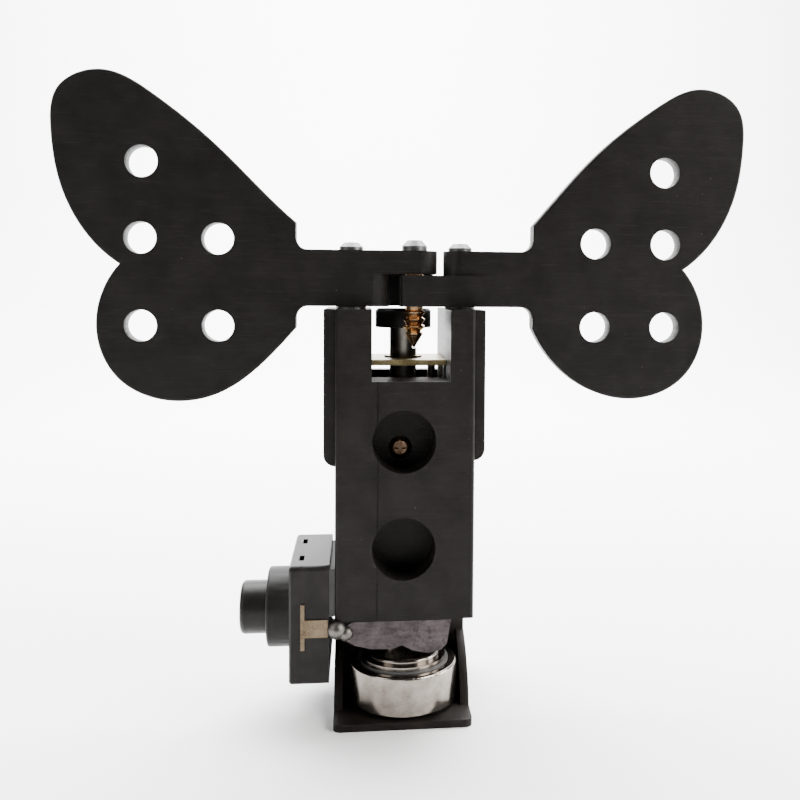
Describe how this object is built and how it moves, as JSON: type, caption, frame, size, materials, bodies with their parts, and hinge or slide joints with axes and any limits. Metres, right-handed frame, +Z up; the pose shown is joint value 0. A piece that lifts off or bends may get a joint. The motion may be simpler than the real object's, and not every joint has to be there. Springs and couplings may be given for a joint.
{
  "type": "motion wing decoy",
  "caption": "Small battery decoy: an upright plastic body with a geared motor whose crank flaps two heart-shaped pierced wings; push switch at the side, coin cell below.",
  "frame": {"origin": "on the motor shaft's line, at the underside of the battery box", "axes": "+Z up along the motor shaft, -Y towards the front with the two pockets, -X towards the push switch"},
  "size_m": [0.0719, 0.0179, 0.0672],
  "materials": {
    "body_plastic": "fine horizontal layer lines, satin",
    "wing_plastic": "flat printed face, light scratches",
    "box_plastic": "matt, rubbed edges",
    "switch_plastic": "moulded, fine texture",
    "button_plastic": "moulded, satin gloss",
    "motor_cap_plastic": "moulded nylon",
    "screw_steel": "bright zinc",
    "clamp_copper": "coppered steel",
    "knuckle_brass": "bright brass with a coarse thread",
    "motor_steel": "bright drawn can",
    "magnet": "ferrite",
    "armature_iron": "laminated iron",
    "copper": "copper",
    "gear_brass": "cut brass",
    "shaft_steel": "ground steel",
    "crank_plastic": "printed black",
    "terminal_brass": "gold-coloured brass",
    "strap_nickel": "dull nickel sheet",
    "spring_steel": "plated wire",
    "cell_steel": "bright rolled steel",
    "cell_cap_steel": "bright pressed steel",
    "gasket_plastic": "nylon ring",
    "pad_rubber": "foam tape",
    "solder": "soft solder",
    "wire_red": "thin insulation",
    "wire_black": "thin insulation"
  },
  "bodies": {
    "body": {"battery_box": "box_plastic", "button_spring": "spring_steel", "clamp_screw": "clamp_copper", "contact_spring": "spring_steel", "contact_strap": "strap_nickel", "contact_wire": "wire_red", "cover_screws": "screw_steel", "front_housing": "body_plastic", "gear_axle": "screw_steel", "gearbox_plates": "gear_brass", "gearbox_posts": "shaft_steel", "lower_contact": "strap_nickel", "motor_can": "motor_steel", "motor_end_cap": "motor_cap_plastic", "motor_magnets": "magnet", "motor_terminals": "terminal_brass", "pivot_screws": "screw_steel", "pivot_washers": "screw_steel", "rear_cover": "body_plastic", "shaft_bush": "gear_brass", "solder_joints": "solder", "strap_screw": "screw_steel", "switch_base": "switch_plastic", "switch_lid": "switch_plastic", "switch_pad": "pad_rubber", "switch_terminals": "terminal_brass", "switch_wire": "wire_black"},
    "rotor": {"armature": "armature_iron", "commutator": "copper", "motor_shaft": "screw_steel", "motor_pinion": "gear_brass"},
    "side_gear": {"side_gear": "gear_brass"},
    "crank": {"output_gear": "gear_brass", "output_shaft": "shaft_steel", "crank": "crank_plastic", "crank_pin": "shaft_steel"},
    "left_wing": {"left_wing": "wing_plastic", "knuckle_screw": "knuckle_brass"},
    "right_wing": {"right_wing": "wing_plastic"},
    "button": {"switch_button": "button_plastic"},
    "cell": {"cell_can": "cell_steel", "cell_gasket": "gasket_plastic", "cell_cap": "cell_cap_steel"}
  },
  "joints": [
    {"name": "motor_turn", "type": "hinge", "parent": "body", "child": "rotor", "pos_m": [0, 0, 0.022], "axis": [0, 0, 1], "range_deg": [-810, 810]},
    {"name": "side_gear_turn", "type": "hinge", "parent": "body", "child": "side_gear", "pos_m": [0.0032, 0, 0.032], "axis": [0, 0, 1], "range_deg": [-271, 271]},
    {"name": "crank_turn", "type": "hinge", "parent": "body", "child": "crank", "pos_m": [0, 0, 0.042], "axis": [0, 0, 1], "range_deg": [-90.5, 90.5]},
    {"name": "left_wing_flap", "type": "hinge", "parent": "body", "child": "left_wing", "pos_m": [-0.00575, -0.0058, 0.0465], "axis": [0, 0, 1], "range_deg": [-13.2, 13.2]},
    {"name": "right_wing_flap", "type": "hinge", "parent": "body", "child": "right_wing", "pos_m": [0.00575, -0.0058, 0.0465], "axis": [0, 0, 1], "range_deg": [-17.1, 17.1]},
    {"name": "switch_press", "type": "slide", "parent": "body", "child": "button", "axis": [1, 0, 0], "range_m": [0, 0.0015], "stiffness_N_per_m": 150, "deforming": ["button_spring"]},
    {"name": "cell_slide", "type": "slide", "parent": "body", "child": "cell", "axis": [0, -1, 0], "range_m": [0, 0.014]}
  ],
  "couplings": [
    {"joint": "side_gear_turn", "follows": "motor_turn", "ratio": -0.33333},
    {"joint": "crank_turn", "follows": "motor_turn", "ratio": 0.11111},
    {"joint": "left_wing_flap", "follows": "motor_turn", "ratio": 0.016111},
    {"joint": "right_wing_flap", "follows": "motor_turn", "ratio": -0.020889}
  ]
}
